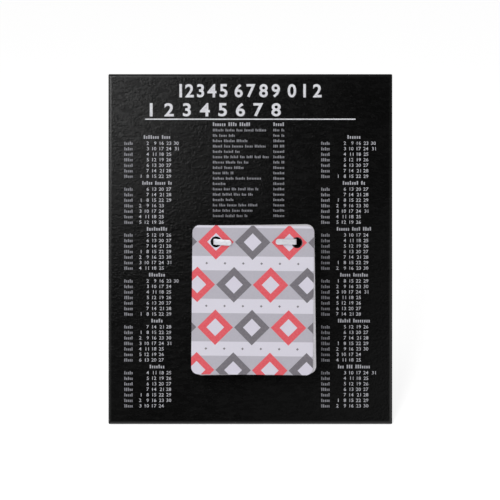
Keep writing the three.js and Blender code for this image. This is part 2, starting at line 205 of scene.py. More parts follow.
class Graph:
    """A node tree of a material or the world, with one method that adds any node."""

    def __init__(self, owner: bpy.types.ID, output: str) -> None:
        """Empties the owner's node tree and adds its output.

        Args:
            owner: The material or the world.
            output: The output node's type.
        """
        owner.use_nodes = True
        self.owner = owner
        self.tree = owner.node_tree
        self.tree.nodes.clear()
        self.output = self.tree.nodes.new(output)

    @classmethod
    def of_material(cls, name: str) -> "Graph":
        """The empty tree of a new material."""
        return cls(bpy.data.materials.new(name), "ShaderNodeOutputMaterial")

    def node(self, kind: str, settings: dict[str, Any], values: dict[Any, Any]) -> "Made":
        """Adds a node, sets it up and feeds its sockets.

        Args:
            kind: The node's type.
            settings: Properties of the node, set first.
            values: For each input, by name or number, a constant or a Sock to link.

        Returns:
            The node, whose outputs are read by number or name.
        """
        node = self.tree.nodes.new(kind)
        for key, value in settings.items():
            setattr(node, key, value)
        for key, value in values.items():
            if isinstance(value, Sock):
                self.tree.links.new(value.socket, node.inputs[key])
            else:
                node.inputs[key].default_value = value
        return Made(self, node)

    def where(self) -> Sock:
        """Object coordinates, in metres."""
        return self.node("ShaderNodeTexCoord", {}, {})["Object"]

    def noise(self, vector: Sock, scale: float, detail: float = 3.0, roughness: float = 0.5) -> Sock:
        """A noise value between 0 and 1, with so many waves to the metre."""
        values = {"Vector": vector, "Scale": scale, "Detail": detail, "Roughness": roughness}
        return self.node("ShaderNodeTexNoise", {}, values)["Fac"]

    def vector(self, operation: str, first: Any, second: Any) -> "Made":
        """Adds a Vector Math node on two vectors."""
        return self.node("ShaderNodeVectorMath", {"operation": operation}, {0: first, 1: second})

    def mix(self, amount: Any, first: Any, second: Any) -> Sock:
        """Mixes two colours."""
        values = {0: amount, 6: first, 7: second}
        return self.node("ShaderNodeMix", {"data_type": "RGBA"}, values)[2]

    def bump(self, height: Sock, strength: float, distance: float) -> Sock:
        """Turns a height between 0 and 1 into a normal; distance is in metres."""
        values = {"Strength": strength, "Distance": distance, "Height": height}
        return self.node("ShaderNodeBump", {}, values)["Normal"]

    def show(self, shader: Sock) -> bpy.types.ID:
        """Links a shader to the output and returns the owner."""
        self.tree.links.new(shader.socket, self.output.inputs["Surface"])
        return self.owner

    def finish(self, values: dict[str, Any]) -> bpy.types.ID:
        """Adds the Principled shader, links it to the output and returns the material."""
        return self.show(self.node("ShaderNodeBsdfPrincipled", {}, values)["BSDF"])


class Made:
    """A node just made, whose outputs are read as Socks."""

    def __init__(self, graph: Graph, node: bpy.types.Node) -> None:
        """Keeps the graph and the node."""
        self.graph = graph
        self.node = node

    def __getitem__(self, key: Any) -> Sock:
        """An output by its number or name."""
        return Sock(self.graph, self.node.outputs[key])


def colour(red: int, green: int, blue: int) -> Tint:
    """A colour as seen on a screen, 0 to 255, turned into linear values.

    Args:
        red: The red value.
        green: The green value.
        blue: The blue value.

    Returns:
        Linear red, green and blue, and an alpha of 1.
    """
    seen = np.array([red, green, blue]) / 255.0
    linear = np.where(seen <= 0.04045, seen / 12.92, ((seen + 0.055) / 1.055) ** 2.4)
    return (*linear.tolist(), 1.0)


@dataclass(frozen=True)
class LeatherGrain:
    """Black covering paper embossed with a fine leather grain.

    Attributes:
        pebble: The grain's size in millimetres.
        streak: The width and length of the creases that run across the board, in millimetres.
        slant: How steeply the creases rise to the right, in degrees.
        depth: The relief's depth in millimetres.
        cloud: The size of the clouds in which the sheen drifts, in millimetres.
        half_size: The board's half width and half height in millimetres.
        rubbed: How far in from the board's edges the folds are polished by handling, in millimetres.
        polish: The polish's weight and roughness.
    """

    pebble: float = 1.1
    streak: Pair = (1.9, 5.5)
    slant: float = 52.0
    depth: float = 0.2
    cloud: float = 40.0
    half_size: Pair = (BOARD_WIDTH / 2, BOARD_HEIGHT / 2)
    rubbed: float = 2.2
    polish: Pair = (0.75, 0.3)

    def at_edges(self, graph: Graph, where: Sock) -> Sock:
        """1 at the board's edges, falling to 0 over the rubbed strip.

        A point's place up the board is the dot product of its place from the middle with the board's up.

        Args:
            graph: The material's graph.
            where: The point's coordinates.

        Returns:
            The strip's mask.
        """
        from_middle = graph.vector("SUBTRACT", where, PLANE.middle)[0]
        up = graph.vector("DOT_PRODUCT", from_middle, PLANE.up)["Value"]
        across = graph.node("ShaderNodeSeparateXYZ", {}, {0: from_middle})[0]
        half_across, half_up = (size * MM for size in self.half_size)
        past = (abs(across) - half_across).larger(abs(up) - half_up)
        return past.ramp(-self.rubbed * MM, -0.2 * self.rubbed * MM)

    def material(self) -> bpy.types.ID:
        """Pebbles are the distance to the nearest cell middle, on coordinates that a noise has shifted.

        Creases are noise on coordinates turned by the slant and shortened along the creases.

        Returns:
            The material.
        """
        graph = Graph.of_material("leather_grain_black")
        where = graph.where()
        wide, long = (1 / (size * MM) for size in self.streak)
        turn = (0.0, math.radians(self.slant), 0.0)
        values = {"Vector": where, "Rotation": turn, "Scale": (long, wide, wide)}
        along = graph.node("ShaderNodeMapping", {}, values)
        creases = graph.noise(along[0], 1.0, 4.0, 0.6)
        drift = graph.noise(where, wide, 2.0)
        values = {0: where, "Scale": 1 / (self.pebble * MM)}
        scaled = graph.node("ShaderNodeVectorMath", {"operation": "SCALE"}, values)
        nudged = graph.vector("ADD", scaled[0], drift)
        values = {"Vector": nudged[0], "Scale": 1.0, "Smoothness": 0.35}
        cells = graph.node("ShaderNodeTexVoronoi", {"feature": "SMOOTH_F1"}, values)
        height = creases * 1.2 - cells["Distance"] * 0.6
        worn = graph.noise(where, 1 / (self.cloud * MM), 3.0)
        pits = creases.ramp(0.3, 0.6)
        values = {
            "Base Color": graph.mix(worn.ramp(0.3, 0.7), colour(5, 5, 5), colour(8, 8, 8)),
            "Roughness": worn.ramp(0.2, 0.8, 0.22, 0.26) + (1.0 - pits) * 0.1,
            "Specular IOR Level": 0.075,
            "Coat Weight": self.at_edges(graph, where) * self.polish[0],
            "Coat Roughness": self.polish[1],
            "Normal": graph.bump(height, 0.6, self.depth * MM),
        }
        return graph.finish(values)


@dataclass(frozen=True)
class PaperStock:
    """Uncoated paper or card: a tint that drifts, with fibres in it and a little tooth.

    Attributes:
        name: The material's name.
        light: The lighter tint.
        dark: The darker tint.
        roughness: The middle of the roughness.
        fibre: The fibres' width in millimetres.
        tooth: The surface's relief in millimetres.
        cloud: The size of the clouds in which the tint drifts, in millimetres.
    """

    name: str
    light: Tint
    dark: Tint
    roughness: float = 0.85
    fibre: float = 1.6
    tooth: float = 0.03
    cloud: float = 18.0

    def material(self) -> bpy.types.ID:
        """Fibres are noise drawn out across the sheet by scaling its coordinates unevenly.

        Returns:
            The material.
        """
        graph = Graph.of_material(self.name)
        where = graph.where()
        drawn = graph.node("ShaderNodeMapping", {}, {"Vector": where, "Scale": (1.0, 1.0, 3.5)})
        fibres = graph.noise(drawn[0], 1 / (self.fibre * MM), 6.0, 0.65)
        cloud = graph.noise(where, 1 / (self.cloud * MM), 3.0)
        shade = (fibres.ramp(0.3, 0.7) * 0.6 + cloud * 0.4).ramp(0.1, 0.9)
        values = {
            "Base Color": graph.mix(shade, self.dark, self.light),
            "Roughness": shade.ramp(0.0, 1.0, self.roughness - 0.06, self.roughness + 0.05),
            "Specular IOR Level": 0.25,
            "Normal": graph.bump(fibres, 0.4, self.tooth * MM),
        }
        return graph.finish(values)


@dataclass(frozen=True)
class PaleInk:
    """Light silver-grey ink on the board.

    Attributes:
        name: The material's name.
        tint: The full ink's tint.
        thin: The thin ink's share of that tint.
        grain: The size of the thin spots in millimetres.
    """

    name: str
    tint: Tint
    thin: float = 0.82
    grain: float = 0.9

    def material(self) -> bpy.types.ID:
        """The ink takes a little of the grain below: it thins where a fine noise is low.

        Returns:
            The material.
        """
        graph = Graph.of_material(self.name)
        where = graph.where()
        spots = graph.noise(where, 1 / (self.grain * MM), 4.0)
        faded = tuple(self.thin * v for v in self.tint[:3])
        values = {
            "Base Color": graph.mix(spots.ramp(0.35, 0.6), (*faded, 1.0), self.tint),
            "Roughness": spots.ramp(0.2, 0.8, 0.5, 0.62),
            "Specular IOR Level": 0.3,
            "Normal": graph.bump(spots, 0.2, 0.02 * MM),
        }
        return graph.finish(values)


@dataclass(frozen=True)
class LacqueredStrip:
    """The fastener's pale lacquered strip.

    Attributes:
        rub: The rubs' length along the strip in millimetres.
        narrow: How many times longer a rub is than wide.
    """

    rub: float = 2.5
    narrow: float = 8.0

    def material(self) -> bpy.types.ID:
        """A pale coat with faint long rubs and a soft sheen.

        Returns:
            The material.
        """
        graph = Graph.of_material("pale_lacquered_strip")
        where = graph.where()
        values = {"Vector": where, "Scale": (1.0, self.narrow, self.narrow)}
        rubs = graph.node("ShaderNodeMapping", {}, values)
        mark = graph.noise(rubs[0], 1 / (self.rub * MM), 4.0)
        values = {
            "Base Color": graph.mix(mark.ramp(0.3, 0.7), colour(192, 193, 200), colour(211, 211, 218)),
            "Roughness": mark.ramp(0.2, 0.8, 0.3, 0.42),
            "Metallic": 0.15,
            "Coat Weight": 0.2,
            "Normal": graph.bump(mark, 0.15, 0.02 * MM),
        }
        return graph.finish(values)


@dataclass(frozen=True)
class DiamondPrint:
    """The cover leaf's print: rows of diamond frames in red and grey, with pale bands between the rows.

    Places are millimetres from the leaf's lower left corner.

    Attributes:
        across: From one diamond's middle to the next.
        row: From one row's middle to the next.
        reach: From a diamond's middle to its corner.
        border: The frame's width, measured towards a corner.
        band: The pale band's width.
        lowest: The lowest row's middles, above the leaf's bottom edge.
        first: A middle in every other row, from the leaf's left edge.
        dot: From a small mark's middle to its corner.
        speckle: How many specks of the ink there are to the metre.
    """

    across: float = 20.6
    row: float = 24.0
    reach: float = 10.0
    border: float = 5.0
    band: float = 8.0
    lowest: float = 2.5
    first: float = 13.3
    dot: float = 0.75
    speckle: float = 900.0

    def material(self) -> bpy.types.ID:
        """A diamond is where |x| + |y| is small, x and y being counted from its middle.

        The cell of a point is the whole number nearest to its place divided by the pitch.

        Returns:
            The material.
        """
        graph = Graph.of_material("diamond_print")
        uv = graph.node("ShaderNodeUVMap", {"uv_map": "leaf"}, {})["UV"]
        split = graph.node("ShaderNodeSeparateXYZ", {}, {0: uv})
        up = (split[1] / MM - self.lowest) / self.row
        row = (up + 0.5).floor()
        y = (up - row) * self.row
        shift = (1.0 - row % 2.0) * (self.across / 2)
        over = (split[0] / MM - self.first - shift) / self.across
        column = (over + 0.5).floor()
        x = (over - column) * self.across
        away = abs(x) + abs(y)
        inside = away < (self.reach - self.border)
        ring = (away < self.reach) - inside
        from_band = self.row / 2 - abs(y)
        band = from_band < (self.band / 2)
        dot = abs(abs(x) - self.across / 4) + from_band < self.dot
        speck = graph.noise(uv, self.speckle, 4.0)
        ground = graph.mix(band, colour(175, 172, 182), colour(209, 206, 217))
        ground = graph.mix(dot, ground, colour(116, 113, 119))
        ring_tint = graph.mix((row + column) % 2.0, colour(108, 104, 111), colour(217, 80, 90))
        tint = graph.mix(ring, ground, ring_tint)
        tint = graph.mix(inside, tint, colour(207, 203, 216))
        tint = graph.mix(speck.ramp(0.2, 0.8, 0.0, 0.05), tint, colour(255, 255, 255))
        values = {
            "Base Color": tint,
            "Roughness": speck.ramp(0.2, 0.8, 0.55, 0.65),
            "Specular IOR Level": 0.15,
            "Normal": graph.bump(speck, 0.1, 0.01 * MM),
        }
        return graph.finish(values)


def mesh_piece(
    name: str, points: np.ndarray, faces: Sequence[Sequence[int]], smooth: bool = True
) -> bpy.types.Object:
    """Makes an object at the origin from points in metres.

    Args:
        name: The piece's name.
        points: One row for each vertex.
        faces: Vertex numbers of each face, anticlockwise from outside.
        smooth: Whether the faces are shaded smoothly.

    Returns:
        The new object, linked to the scene.
    """
    mesh = bpy.data.meshes.new(name)
    mesh.from_pydata(points.tolist(), [], faces)
    mesh.polygons.foreach_set("use_smooth", np.full(len(mesh.polygons), smooth))
    mesh.update()
    piece = bpy.data.objects.new(name, mesh)
    bpy.context.scene.collection.objects.link(piece)
    return piece


def tube_faces(rings: int, around: int, start: int = 0, outward: bool = True) -> np.ndarray:
    """Quads between successive closed rings of points.

    Args:
        rings: How many rings there are.
        around: How many points each ring has.
        start: The number of the first point.
        outward: Whether the quads keep the order (ring, next ring) or are turned round.

    Returns:
        One row of four vertex numbers for each quad.
    """
    ring = np.arange(rings - 1)[:, None] * around
    here = np.arange(around)[None, :]
    after = (here + 1) % around
    quads = np.stack([ring + here, ring + after, ring + around + after, ring + around + here], axis=-1)
    quads = quads.reshape(-1, 4) + start
    return quads if outward else quads[:, ::-1]


def dress(piece: bpy.types.Object, material: bpy.types.ID) -> bpy.types.Object:
    """Gives a new piece its material and body.

    Args:
        piece: The new piece.
        material: Its material.

    Returns:
        The piece.
    """
    piece.data.materials.clear()
    piece.data.materials.append(material)
    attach(piece, ROOT_BODY)
    LOG.info("%s: %d faces", piece.name, len(piece.data.polygons))
    return piece


def carry_over(node: str, material: bpy.types.ID) -> None:
    """Gives a CAD node a better material; its mesh stays as it is.

    Args:
        node: The node's name.
        material: Its material.
    """
    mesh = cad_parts[node].data
    mesh.materials.clear()
    mesh.materials.append(material)
    LOG.info("%s: carried over", node)


def leaf_ring(width: float, height: float, radius: float, per_corner: int) -> np.ndarray:
    """The outline of a leaf, anticlockwise from the front.

    Each corner is a quarter circle about its own middle, turned by a quarter from the corner before.

    Args:
        width: The leaf's width.
        height: The leaf's height.
        radius: The corners' radius.
        per_corner: Steps round each corner.

    Returns:
        One (across, up) row for each point.
    """
    turns = np.linspace(0.0, np.pi / 2, per_corner + 1)
    arc = radius * np.stack([np.cos(turns), np.sin(turns)], axis=-1)
    middles = np.array([[1, 1], [-1, 1], [-1, -1], [1, -1]]) * (np.array([width, height]) / 2 - radius)
    quarter = np.array([[0.0, 1.0], [-1.0, 0.0]])
    return np.concatenate([
        middle + arc @ np.linalg.matrix_power(quarter, number) for number, middle in enumerate(middles)
    ])


def turned(points: np.ndarray, degrees: float) -> np.ndarray:
    """Turns points anticlockwise about the origin.

    Args:
        points: Their (across, up) places.
        degrees: How far they turn.

    Returns:
        The turned places.
    """
    angle = math.radians(degrees)
    matrix = np.array([[math.cos(angle), math.sin(angle)], [-math.sin(angle), math.cos(angle)]])
    return points @ matrix


def raised(ring: np.ndarray, out: float) -> np.ndarray:
    """An outline's (across, up) points, each with the same distance out of the board."""
    return np.column_stack([ring, np.full(len(ring), out)])


def slope(degrees: float) -> float:
    """The rise for each unit of run at an angle."""
    return math.tan(math.radians(degrees))


def holed_face(ends: Sequence[tuple[int, np.ndarray]], towards_reader: bool) -> list[list[int]]:
    """Fills the space between an outline and the holes in it.

    A triangle that is walked clockwise, seen from the side it looks to, is turned round.

    Args:
        ends: The outline and each hole, as its first vertex's number and its (across, up) points.
        towards_reader: Whether the face looks out of the board.

    Returns:
        Triangles of vertex numbers.
    """
    loops = [[Vector((*point, 0.0)) for point in ring.tolist()] for _, ring in ends]
    numbers = np.concatenate([np.arange(len(ring)) + start for start, ring in ends])
    flat = np.concatenate([ring for _, ring in ends])
    triangles = np.array(tessellate_polygon(loops))
    first, second = (flat[triangles[:, corner]] - flat[triangles[:, 0]] for corner in (1, 2))
    area = first[:, 0] * second[:, 1] - first[:, 1] * second[:, 0]
    wrong = (area > 0) != towards_reader
    triangles[wrong] = triangles[wrong][:, ::-1]
    return numbers[triangles].tolist()


def pierced(wall: np.ndarray, holes: Sequence[np.ndarray]) -> tuple[np.ndarray, list[list[int]]]:
    """A closed shell: rings joined from back to front, with holes that run straight through.

    The first ring and the last are flat, and the space between each and the holes is filled.

    Args:
        wall: (across, up, out) of each point of each ring, the back ring first.
        holes: Each hole's outline as (across, up), anticlockwise from the front.

    Returns:
        The shell's points and its faces.
    """
    rings, around = wall.shape[:2]
    used = rings * around
    points = [wall.reshape(-1, 3)]
    faces = tube_faces(rings, around).tolist()
    back = [(0, wall[0, :, :2])]
    front = [(used - around, wall[-1, :, :2])]
    for hole in holes:
        points += [raised(hole, out) for out in wall[[0, -1], 0, 2]]
        faces += tube_faces(2, len(hole), used, outward=False).tolist()
        back.append((used, hole))
        front.append((used + len(hole), hole))
        used += 2 * len(hole)
    faces += holed_face(back, towards_reader=False)
    faces += holed_face(front, towards_reader=True)
    return np.concatenate(points), faces


@dataclass
class Pad:
    """The pad: the block of dated leaves and the printed cover leaf, hung by their holes.

    Sizes are those of the solids, in millimetres. Heights are counted from the board's middle.

    A play is how far a sheet hangs off its place, across and up, and turns are in degrees. The block falls
    into sheaves, each shifted by up to sheaf_wander. Some leaves, a share called strays, are shifted on
    their own too, usually by leaf_wander and at most by leaf_limit. All are uneven by leaf_fine. The nearest
    leaf hangs lower than the furthest by the sag. The groove between two leaves lies in shares of a leaf's
    thickness, before and after its two groove_ends.
    """

    leaf_width: float = 68.4
    leaf_height: float = 83.8
    corner: float = 4.0
    hole: float = 6.2
    hole_spacing: float = 45.6
    hole_from_top: float = 9.3
    hole_off_centre: float = 1.9
    hang_across: float = HOLES_ACROSS
    hang_up: float = HOLES_UP
    block_play: Pair = (0.3, 0.05)
    block_turn: float = 0.75
    block_back: float = 1.4
    block_depth: float = 20.5
    cover_play: Pair = (0.0, -0.3)
    cover_turn: float = -0.55
    cover_depth: float = 0.3
    gap: float = 0.3
    sheaves: int = 14
    leaves: int = 168
    sheaf_wander: float = 0.2
    strays: float = 0.35
    leaf_wander: float = 0.10
    leaf_limit: float = 0.2
    leaf_fine: float = 0.03
    sag: float = 0.45
    groove: float = 0.035
    groove_ends: Pair = (0.22, 0.78)
    corner_steps: tuple[int, int] = (7, 12)
    around_hole: int = 40
    seed: int = 11

    def hook(self, play: Pair) -> np.ndarray:
        """Where the middle between a sheet's two holes is, as (across, up)."""
        return np.array([self.hang_across + play[0], self.hang_up + play[1]])

    def hung(self, ring: np.ndarray, turn: float, play: Pair) -> np.ndarray:
        """Turns an outline about the middle of its holes and hangs it on the board.

        Args:
            ring: The outline about its own middle, as (across, up).
            turn: How far it turns, in degrees.
            play: How far it hangs off its place.

        Returns:
            The outline on the board.
        """
        from_holes = ring + np.array([-self.hole_off_centre, self.hole_from_top - self.leaf_height / 2])
        return turned(from_holes, turn) + self.hook(play)

    def holes(self, turn: float, play: Pair) -> list[np.ndarray]:
        """The two holes' outlines, anticlockwise from the front.

        Args:
            turn: How far their sheet is turned, in degrees.
            play: How far it hangs off its place.

        Returns:
            The left outline and the right one.
        """
        turns = np.linspace(0.0, 2 * np.pi, self.around_hole, endpoint=False)
        circle = self.hole / 2 * np.stack([np.cos(turns), np.sin(turns)], axis=-1)
        middles = turned(np.array([[-0.5, 0.0], [0.5, 0.0]]) * self.hole_spacing, turn)
        return [circle + middle + self.hook(play) for middle in middles]

    def leaf_stack(self) -> tuple[np.ndarray, np.ndarray]:
        """Where each leaf's edge lies.

        Each leaf has three rings: one in the groove behind it, a little further in, and two at its edge.
        A leaf's shift is its sheaf's shift, plus its own if it strays, plus the sag towards the reader.

        Returns:
            The rings' shifts (across, up, inset) and their distances out of the board.
        """
        rng = np.random.default_rng(self.seed)
        share = (np.arange(self.leaves) + 0.5) / self.leaves
        sheaf = np.minimum((share * self.sheaves).astype(int), self.sheaves - 1)
        sheaf_shift = rng.uniform(-self.sheaf_wander, self.sheaf_wander, (self.sheaves, 2))[sheaf]
        single = rng.normal(0.0, self.leaf_wander, (self.leaves, 2))
        single *= rng.random((self.leaves, 1)) < self.strays
        fine = rng.normal(0.0, self.leaf_fine, (self.leaves, 2))
        shift = sheaf_shift + np.clip(single, -self.leaf_limit, self.leaf_limit) + fine
        shift[:, 1] += self.sag * (0.5 - share)
        pitch = self.block_depth / self.leaves
        near = self.block_back + pitch * np.arange(self.leaves)
        profile = np.array([[0.0, self.groove], *([end, 0.0] for end in self.groove_ends)])
        rings = np.repeat(shift, len(profile), axis=0)
        insets = np.tile(profile[:, 1], self.leaves)
        depths = (near[:, None] + pitch * profile[None, :, 0]).ravel()
        shifts = np.column_stack([rings, insets])
        last = np.array([[shift[-1, 0], shift[-1, 1], 0.0]])
        return np.vstack([shifts, last]), np.append(depths, self.block_back + self.block_depth)

    def block(self) -> bpy.types.Object:
        """The dated leaves: rings round every leaf's edge, closed in front and behind, with two bores.

        Returns:
            The piece.
        """
        shifts, depths = self.leaf_stack()
        outline = leaf_ring(self.leaf_width, self.leaf_height, self.corner, self.corner_steps[0])
        outwards = outline / np.linalg.norm(outline, axis=1, keepdims=True)
        rings = outline[None] - outwards[None] * shifts[:, None, 2:3] + shifts[:, None, :2]
        hung = self.hung(rings.reshape(-1, 2), self.block_turn, self.block_play)
        wall = np.column_stack([hung, np.repeat(depths, len(outline))]).reshape(len(depths), -1, 3)
        points, faces = pierced(wall, self.holes(self.cover_turn, self.cover_play))
        piece = mesh_piece("leaf_edges", PLANE.place(points), faces, smooth=False)
        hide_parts("leaf_block")
        return piece

    def cover(self) -> bpy.types.Object:
        """The printed cover leaf, with its print's coordinates in a UV map.

        Returns:
            The piece.
        """
        back = self.block_back + self.block_depth + self.gap
        outline = leaf_ring(self.leaf_width, self.leaf_height, self.corner, self.corner_steps[1])
        hung = self.hung(outline, self.cover_turn, self.cover_play)
        wall = np.stack([raised(hung, out) for out in (back, back + self.cover_depth)])
        points, faces = pierced(wall, self.holes(self.cover_turn, self.cover_play))
        piece = mesh_piece("printed_cover_leaf", PLANE.place(points), faces, smooth=False)
        hole_middle = np.array([
            self.leaf_width / 2 + self.hole_off_centre, self.leaf_height - self.hole_from_top,
        ])
        unhung = turned(points[:, :2] - self.hook(self.cover_play), -self.cover_turn)
        flat = (unhung + hole_middle) * MM
        layer = piece.data.uv_layers.new(name="leaf")
        numbers = np.zeros(len(piece.data.loops), dtype=np.int64)
        piece.data.loops.foreach_get("vertex_index", numbers)
        layer.data.foreach_set("uv", flat[numbers].ravel())
        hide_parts("cover_leaf")
        return piece

    def build(self) -> None:
        """Builds and dresses the pad."""
        paper = PaperStock("leaf_paper", colour(208, 206, 210), colour(182, 180, 184), 0.85, 0.8, 0.02)
        dress(self.block(), paper.material())
        dress(self.cover(), DiamondPrint().material())
        chipboard = PaperStock("chipboard", colour(176, 164, 146), colour(128, 118, 104), 0.9, 2.2, 0.05)
        carry_over("backing_card", chipboard.material())


@dataclass
class Fastener:
    """The prong fastener as one bent strip: left prong, leg, base, leg, right prong.

    Sizes are those of the solid, in millimetres, and angles are in degrees. Heights are counted from the
    board's middle.

    The prongs' middle line lies at over. Within base_near of the base's level the strip is as wide as the
    base. The section is an ellipse at a squareness of 1, and squarer the nearer that is to 0. Each end is a
    half circle that thins over a part of its length, down to the least width and thickness, which are given
    as squares of shares. A prong's points start at a share of its length, counted from its tip.
    """

    across: float = PRONGS_ACROSS
    up: float = HOLES_UP
    spacing: float = PRONGS_APART
    width: float = 3.3
    thickness: float = 0.6
    base_width: float = 8.0
    base_out: float = -2.2
    over: float = 23.1
    bend: float = 0.8
    left_reach: float = 10.0
    right_reach: float = 11.5
    left_droop: float = 4.5
    right_droop: float = 0.5
    right_twist: float = 8.0
    tip_lift: float = 5.0
    base_near: float = 0.3
    squareness: float = 0.35
    least: Pair = (0.0009, 0.02)
    thins_over: float = 0.25
    around: int = 24
    nose_steps: int = 12
    bend_steps: int = 8
    straight_steps: int = 10
    straight_from: float = 0.75

    def centre_line(self) -> tuple[np.ndarray, np.ndarray]:
        """The strip's middle line, seen from above, and its left normal.

        Straight stretches are joined by quarter circles, all in the plane across and out.

        Returns:
            Points (across, out) and unit normals to the line.
        """
        half = self.spacing / 2
        corners = np.array([
            [-half + self.left_reach, self.over], [-half, self.over], [-half, self.base_out],
            [half, self.base_out], [half, self.over], [half - self.right_reach, self.over],
        ])
        tip = self.width / 2
        nose = tip * (1 - np.cos(np.linspace(0.0, np.pi / 2, self.nose_steps)))[:, None]
        left_tip = corners[0] - nose * np.array([1.0, 0.0])
        right_tip = corners[-1] + nose * np.array([1.0, 0.0])
        roots = corners[[0, -1]] * (1 - self.straight_from) + corners[[1, -2]] * self.straight_from
        points = [left_tip, np.linspace(left_tip[-1], roots[0], self.straight_steps)[1:]]
        for before, corner, after in zip(corners, corners[1:], corners[2:]):
            into = (before - corner) / np.linalg.norm(before - corner)
            away = (after - corner) / np.linalg.norm(after - corner)
            turns = np.linspace(0.0, np.pi / 2, self.bend_steps + 1)[:, None]
            middle = corner + self.bend * (into + away)
            points.append(middle - self.bend * (away * np.cos(turns) + into * np.sin(turns)))
        points.append(np.linspace(roots[1], right_tip[-1], self.straight_steps)[:-1])
        points.append(right_tip[::-1])
        line = np.concatenate(points)
        along = np.gradient(line, axis=0)
        along /= np.linalg.norm(along, axis=1, keepdims=True)
        return line, np.column_stack([-along[:, 1], along[:, 0]])

    def build(self) -> None:
        """Carries a rounded section along the middle line; the ends narrow as half circles.

        At a distance of n half widths from its end, n up to 1, the strip's width is the full one times the
        square root of 1 - (1 - n) squared. It never falls to nothing, so that the ends can be closed.
        """
        line, normal = self.centre_line()
        step = np.linalg.norm(np.diff(line, axis=0), axis=1)
        run = np.concatenate([[0.0], np.cumsum(step)])
        from_end = np.minimum(run, run[-1] - run)
        nose = np.clip(from_end / (self.width / 2), 0.0, 1.0)
        half = np.where(line[:, 1] < self.base_out + self.base_near, self.base_width / 2, self.width / 2)
        half = half * np.sqrt(np.clip(1 - (1 - nose) ** 2, self.least[0], 1.0))
        thick = self.thickness / 2 * np.sqrt(np.clip(nose / self.thins_over, self.least[1], 1.0))
        turns = np.linspace(0.0, 2 * np.pi, self.around, endpoint=False)
        circle = np.column_stack([np.cos(turns), np.sin(turns)])
        section = np.sign(circle) * np.abs(circle) ** self.squareness
        away = section[None, :, 0] * thick[:, None]
        sideways = section[None, :, 1] * half[:, None]

        over_cover = np.clip(line[:, 1] - (self.over - self.bend), 0.0, self.bend) / self.bend
        root = self.spacing / 2 - np.abs(line[:, 0])
        droop = np.where(line[:, 0] < 0, slope(self.left_droop), slope(self.right_droop))
        drop = over_cover * np.clip(root, 0.0, None) * droop
        twist = np.where(line[:, 0] > 0, slope(self.right_twist), 0.0) * over_cover
        lift = over_cover * np.clip(root - self.bend, 0.0, None) * slope(self.tip_lift)
        across = line[:, None, 0] + normal[:, None, 0] * away + self.across
        up = self.up + sideways - drop[:, None]
        out = line[:, None, 1] + normal[:, None, 1] * away + sideways * twist[:, None] + lift[:, None]
        places = np.stack([across, up, out], axis=-1).reshape(-1, 3)
        faces = tube_faces(len(line), self.around).tolist()
        faces.append(list(range(self.around))[::-1])
        faces.append(list(range(len(places) - self.around, len(places))))
        piece = mesh_piece("bent_prongs", PLANE.place(places), faces)
        outward(piece)
        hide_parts("prong_fastener")
        dress(piece, LacqueredStrip().material())


def outward(piece: bpy.types.Object) -> None:
    """Recalculates a closed piece's normals so that they look outwards.

    Args:
        piece: The piece.
    """
    work = bmesh.new()
    work.from_mesh(piece.data)
    bmesh.ops.recalc_face_normals(work, faces=work.faces)
    work.to_mesh(piece.data)
    work.free()


@dataclass
class Glyphs:
    """Plain numerals as thin closed solids, kept once for each number that is asked for.

    Attributes:
        weight: How far the strokes are widened, as a share of the type's size.
        depth: The numerals' thickness in millimetres.
        steps: Curve steps, kept low because the numerals are small.
        made: The numbers made so far.
    """

    weight: float
    depth: float
    steps: int
    made: dict[str, tuple[np.ndarray, np.ndarray]] = field(default_factory=dict)

    def number(self, text: str) -> tuple[np.ndarray, np.ndarray]:
        """One number, with its foot at 0 and a height of 1.

        Args:
            text: The number, in figures.

        Returns:
            Its points (across, up, out) and its triangles.
        """
        if text not in self.made:
            curve = bpy.data.curves.new("figure", "FONT")
            curve.body = text
            curve.size = 1.0
            curve.offset = self.weight
            curve.extrude = 0.5
            curve.resolution_u = self.steps
            holder = bpy.data.objects.new("figure", curve)
            bpy.context.scene.collection.objects.link(holder)
            graph = bpy.context.evaluated_depsgraph_get()
            mesh = bpy.data.meshes.new_from_object(holder.evaluated_get(graph))
            work = bmesh.new()
            work.from_mesh(mesh)
            bmesh.ops.remove_doubles(work, verts=work.verts, dist=1e-5)
            bmesh.ops.triangulate(work, faces=work.faces)
            bmesh.ops.recalc_face_normals(work, faces=work.faces)
            points = np.array([v.co[:] for v in work.verts])
            faces = np.array([[v.index for v in f.verts] for f in work.faces])
            work.free()
            bpy.data.objects.remove(holder)
            bpy.data.curves.remove(curve)
            bpy.data.meshes.remove(mesh)
            low, high = points.min(axis=0), points.max(axis=0)
            tall = high[1] - low[1]
            points = (points - np.array([low[0], low[1], 0.0])) / np.array([tall, tall, 1.0])
            points[:, 2] = np.where(points[:, 2] > 0, self.depth, 0.0)
            self.made[text] = (points, faces)
        return self.made[text]

    def width(self, text: str) -> float:
        """A number's width where its height is 1."""
        return float(self.number(text)[0][:, 0].max())


